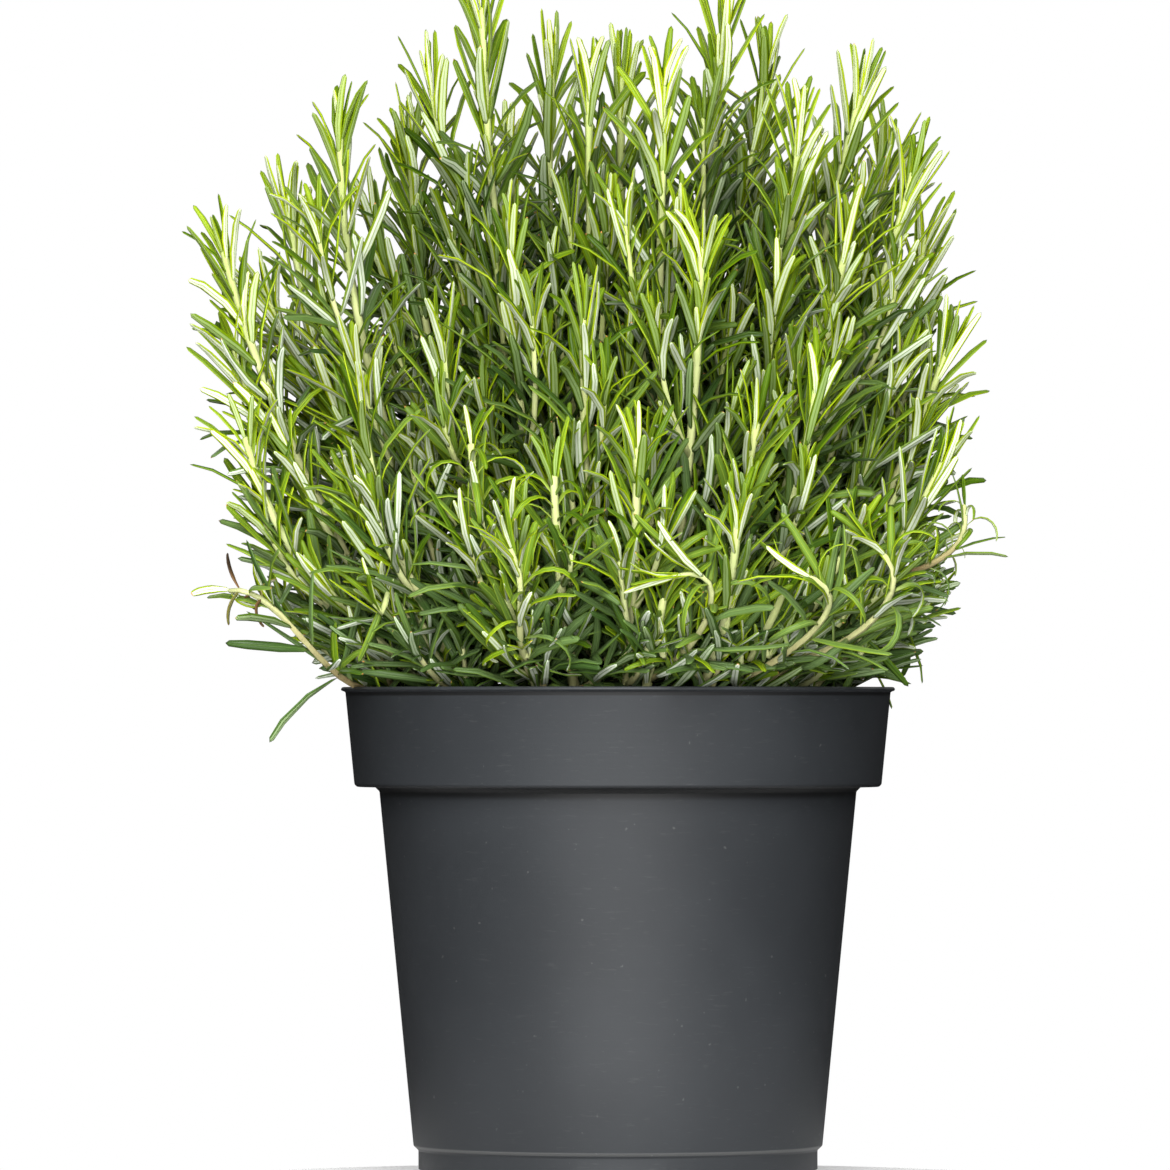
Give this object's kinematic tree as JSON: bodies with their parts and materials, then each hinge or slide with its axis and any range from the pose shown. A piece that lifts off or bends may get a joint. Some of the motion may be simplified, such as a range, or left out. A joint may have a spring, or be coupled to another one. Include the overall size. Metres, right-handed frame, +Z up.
{
  "type": "potted rosemary plant",
  "caption": "Bushy rosemary with upright and arching leafy stems, rooted in soil in a dark round nursery pot that stands on its foot ring.",
  "frame": {"origin": "centre of the bounds' footprint at the height of the surface that the pot stands on", "axes": "+Z up, -Y towards the front of the plant as pictured, +X to its right"},
  "size_m": [0.2814, 0.265, 0.4218],
  "materials": {
    "pot_plastic": "satin",
    "soil": "matte",
    "rosemary": "satin"
  },
  "bodies": {
    "root": {"pot": "pot_plastic", "soil": "soil", "leafy_stem_01": "rosemary", "leafy_stem_02": "rosemary", "leafy_stem_03": "rosemary", "leafy_stem_04": "rosemary", "leafy_stem_05": "rosemary", "leafy_stem_06": "rosemary", "leafy_stem_07": "rosemary", "leafy_stem_08": "rosemary", "leafy_stem_09": "rosemary", "leafy_stem_10": "rosemary", "leafy_stem_11": "rosemary", "leafy_stem_12": "rosemary", "leafy_stem_13": "rosemary", "leafy_stem_14": "rosemary", "leafy_stem_15": "rosemary", "leafy_stem_16": "rosemary", "leafy_stem_17": "rosemary", "leafy_stem_18": "rosemary", "leafy_stem_19": "rosemary", "leafy_stem_20": "rosemary", "leafy_stem_21": "rosemary", "leafy_stem_22": "rosemary", "leafy_stem_23": "rosemary", "leafy_stem_24": "rosemary", "leafy_stem_25": "rosemary", "leafy_stem_26": "rosemary", "leafy_stem_27": "rosemary", "leafy_stem_28": "rosemary", "leafy_stem_29": "rosemary", "leafy_stem_30": "rosemary", "leafy_stem_31": "rosemary", "leafy_stem_32": "rosemary", "leafy_stem_33": "rosemary", "leafy_stem_34": "rosemary", "leafy_stem_35": "rosemary", "leafy_stem_36": "rosemary", "leafy_stem_37": "rosemary", "leafy_stem_38": "rosemary", "leafy_stem_39": "rosemary", "leafy_stem_40": "rosemary", "leafy_stem_41": "rosemary", "leafy_stem_42": "rosemary", "leafy_stem_43": "rosemary", "leafy_stem_44": "rosemary", "leafy_stem_45": "rosemary", "leafy_stem_46": "rosemary", "leafy_stem_47": "rosemary", "leafy_stem_48": "rosemary", "leafy_stem_49": "rosemary", "leafy_stem_50": "rosemary", "leafy_stem_51": "rosemary", "leafy_stem_52": "rosemary", "leafy_stem_53": "rosemary", "leafy_stem_54": "rosemary", "leafy_stem_55": "rosemary", "leafy_stem_56": "rosemary", "leafy_stem_57": "rosemary", "leafy_stem_58": "rosemary"}
  },
  "joints": []
}
